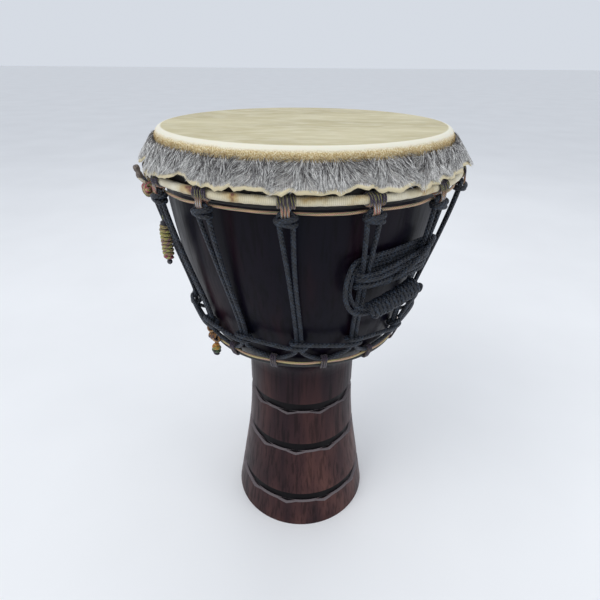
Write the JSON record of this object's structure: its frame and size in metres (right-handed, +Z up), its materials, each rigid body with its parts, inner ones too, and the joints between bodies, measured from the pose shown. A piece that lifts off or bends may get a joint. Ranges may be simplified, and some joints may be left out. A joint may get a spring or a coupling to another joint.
{
  "type": "djembe",
  "caption": "Rope-tuned goblet hand drum: carved hollow wooden shell, hairy goat skin pulled down by ring, cord loops and black rope, with hanging cord ornaments.",
  "frame": {"origin": "centre of the foot, on the ground", "axes": "+Z up the drum's axis; the front, with a pair of ropes near its middle, faces -Y; the spare rope's hank is to the front and right, +X"},
  "size_m": [0.3523, 0.3544, 0.54],
  "materials": {
    "carved_wood": "very dark reddish-brown stained hardwood, satin",
    "goat_hide": "cream rawhide playing face, grey goat hair on the collar",
    "ring_steel": "bare mild steel bar",
    "black_steel": "black paint",
    "ring_cloth": "cream cotton strip",
    "patterned_cord": "woven cord with tan, yellow, green and purple flecks",
    "black_rope": "black braided rope",
    "toggle_leather": "brown leather sleeve",
    "dark_bead": "dark polished bead"
  },
  "bodies": {
    "root": {"shell": "carved_wood", "goat_skin": "goat_hide", "flesh_hoop": "ring_steel", "crown_ring": "ring_steel", "crown_ring_wrap": "ring_cloth", "crown_loops": "patterned_cord", "crown_lacing": "patterned_cord", "vertical_rope": "black_rope", "crown_turns": "black_rope", "weave_rope": "black_rope", "bottom_ring": "black_steel", "bottom_loops": "patterned_cord", "bottom_lacing": "patterned_cord", "spare_rope_lead": "black_rope", "spare_rope_hank": "black_rope", "upper_knot": "patterned_cord", "upper_toggle": "toggle_leather", "upper_toggle_cord": "patterned_cord", "lower_knot": "patterned_cord"},
    "upper_link": {"upper_pendant_loop": "patterned_cord"},
    "upper_pendant": {"upper_pendant_cord": "patterned_cord", "upper_pendant_barrel": "patterned_cord", "upper_pendant_bead": "dark_bead"},
    "lower_link": {"lower_pendant_cord": "patterned_cord"},
    "lower_pendant": {"lower_pendant_barrel": "patterned_cord"}
  },
  "joints": [
    {"name": "upper_pendant_swing_out", "type": "hinge", "parent": "root", "child": "upper_link", "pos_m": [-0.14045, -0.08506, 0.489], "axis": [-0.518, 0.8554, 0], "range_deg": [-5, 60]},
    {"name": "upper_pendant_swing_side", "type": "hinge", "parent": "upper_link", "child": "upper_pendant", "pos_m": [-0.14045, -0.08506, 0.485], "axis": [-0.8554, -0.518, 0], "range_deg": [-30, 2]},
    {"name": "lower_pendant_swing_out", "type": "hinge", "parent": "root", "child": "lower_link", "pos_m": [-0.10169, -0.07775, 0.3083], "axis": [-0.6074, 0.7944, 0], "range_deg": [0, 30]},
    {"name": "lower_pendant_swing_side", "type": "hinge", "parent": "lower_link", "child": "lower_pendant", "pos_m": [-0.10169, -0.07775, 0.3041], "axis": [-0.7944, -0.6074, 0], "range_deg": [-15, 15]}
  ]
}
